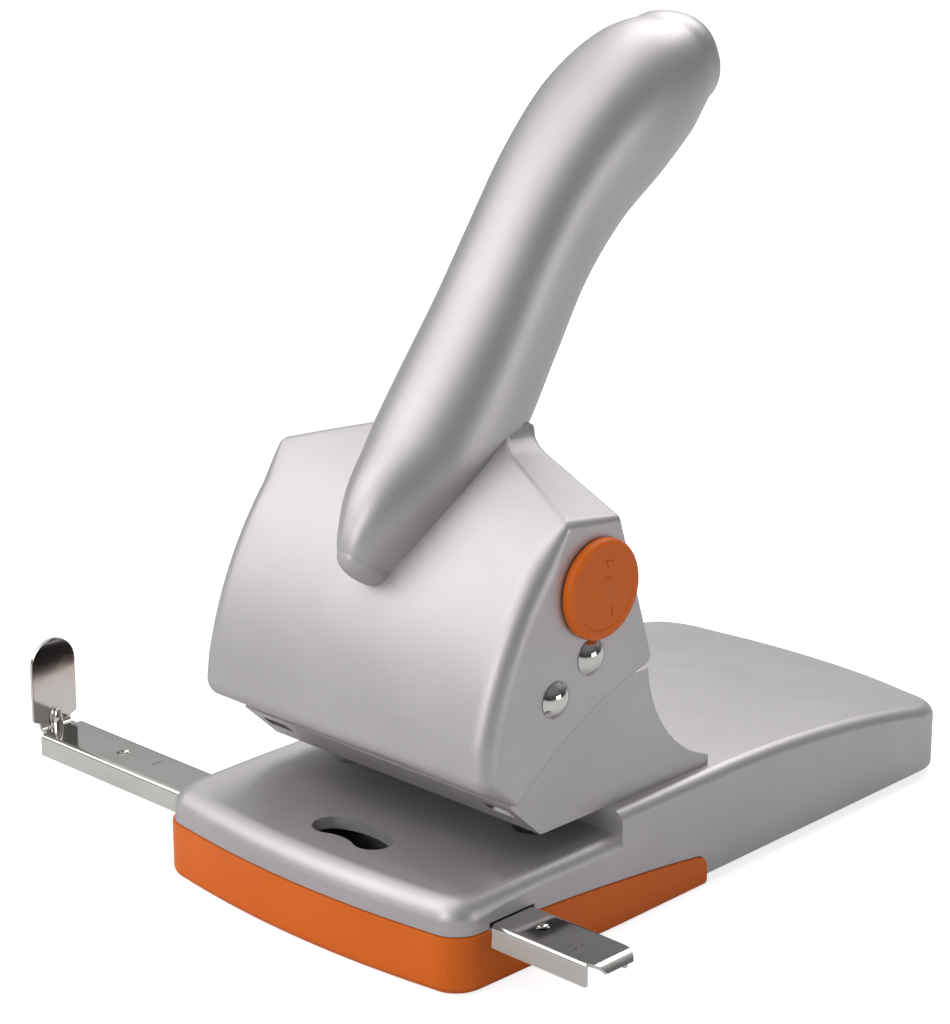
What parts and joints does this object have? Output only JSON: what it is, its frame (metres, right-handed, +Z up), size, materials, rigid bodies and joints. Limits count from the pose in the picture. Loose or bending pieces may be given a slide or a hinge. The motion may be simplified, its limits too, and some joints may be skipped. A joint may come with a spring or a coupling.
{
  "type": "hole punch",
  "caption": "Desk hole punch with a cast lever and tall handle on a folded frame, sliding paper guide with an upturned stop, turning lever lock and a removable chip tray.",
  "frame": {"origin": "on the symmetry plane, below the line of the two punches, on the surface that the punch stands on", "axes": "+X to the right as seen from the front, +Y to the rear over the handle's side, +Z up"},
  "size_m": [0.2589, 0.2591, 0.2635],
  "materials": {
    "silver_casting": "satin metallic lacquer on a light-metal casting",
    "silver_sheet": "satin metallic lacquer on sheet steel",
    "orange_plastic": "fine moulded satin",
    "nickel_steel": "bright nickel plate",
    "zinc_steel": "zinc plate",
    "spring_steel": "drawn wire",
    "tool_steel": "ground",
    "black_plastic": "moulded",
    "black_rubber": "matte",
    "nylon": "natural"
  },
  "bodies": {
    "base": {"base_platform": "silver_casting", "base_deck": "silver_casting", "bottom_cover": "black_plastic", "cover_screws": "zinc_steel", "rubber_feet": "black_rubber", "die_bush_left": "tool_steel", "die_bush_right": "tool_steel", "guide_strap": "zinc_steel", "strap_screws": "zinc_steel", "detent_spring": "spring_steel", "detent_screw": "zinc_steel", "side_frame": "silver_sheet", "frame_screws": "zinc_steel", "punch_guide_left": "tool_steel", "punch_guide_right": "tool_steel", "return_spring_left": "spring_steel", "return_spring_right": "spring_steel"},
    "lever_arm": {"lever": "silver_casting", "pivot_shaft": "nickel_steel", "crank_shaft": "nickel_steel", "shaft_screws": "nickel_steel", "pivot_washers": "nylon"},
    "lock": {"lock_knob": "orange_plastic", "lock_spindle": "zinc_steel", "lock_pawl": "tool_steel", "lock_clip": "zinc_steel"},
    "left_punch": {"punch_left": "tool_steel"},
    "right_punch": {"punch_right": "tool_steel"},
    "guide": {"paper_guide": "nickel_steel"},
    "tray": {"chip_tray": "orange_plastic"}
  },
  "joints": [
    {"name": "lever_hinge", "type": "hinge", "parent": "base", "child": "lever_arm", "pos_m": [0, -0.015, 0.081], "axis": [-1, 0, 0], "range_deg": [0, 49.9], "stiffness_Nm_per_rad": 2, "springref_deg": -34.38},
    {"name": "left_punch_slide", "type": "slide", "parent": "base", "child": "left_punch", "axis": [0, 0, -1], "range_m": [0, 0.015], "deforming": ["return_spring_left"]},
    {"name": "right_punch_slide", "type": "slide", "parent": "base", "child": "right_punch", "axis": [0, 0, -1], "range_m": [0, 0.015], "deforming": ["return_spring_right"]},
    {"name": "lock_turn", "type": "hinge", "parent": "lever_arm", "child": "lock", "pos_m": [0.0625, 0.0025, 0.1116], "axis": [-1, 0, 0], "range_deg": [0, 90]},
    {"name": "guide_slide", "type": "slide", "parent": "base", "child": "guide", "axis": [1, 0, 0], "range_m": [-0.0165, 0.08]},
    {"name": "tray_slide", "type": "slide", "parent": "base", "child": "tray", "axis": [0, 0, -1], "range_m": [0, 0.04]}
  ],
  "couplings": [
    {"joint": "left_punch_slide", "follows": "lever_hinge", "m_per_rad": 0.01722},
    {"joint": "right_punch_slide", "follows": "lever_hinge", "m_per_rad": 0.01722}
  ]
}
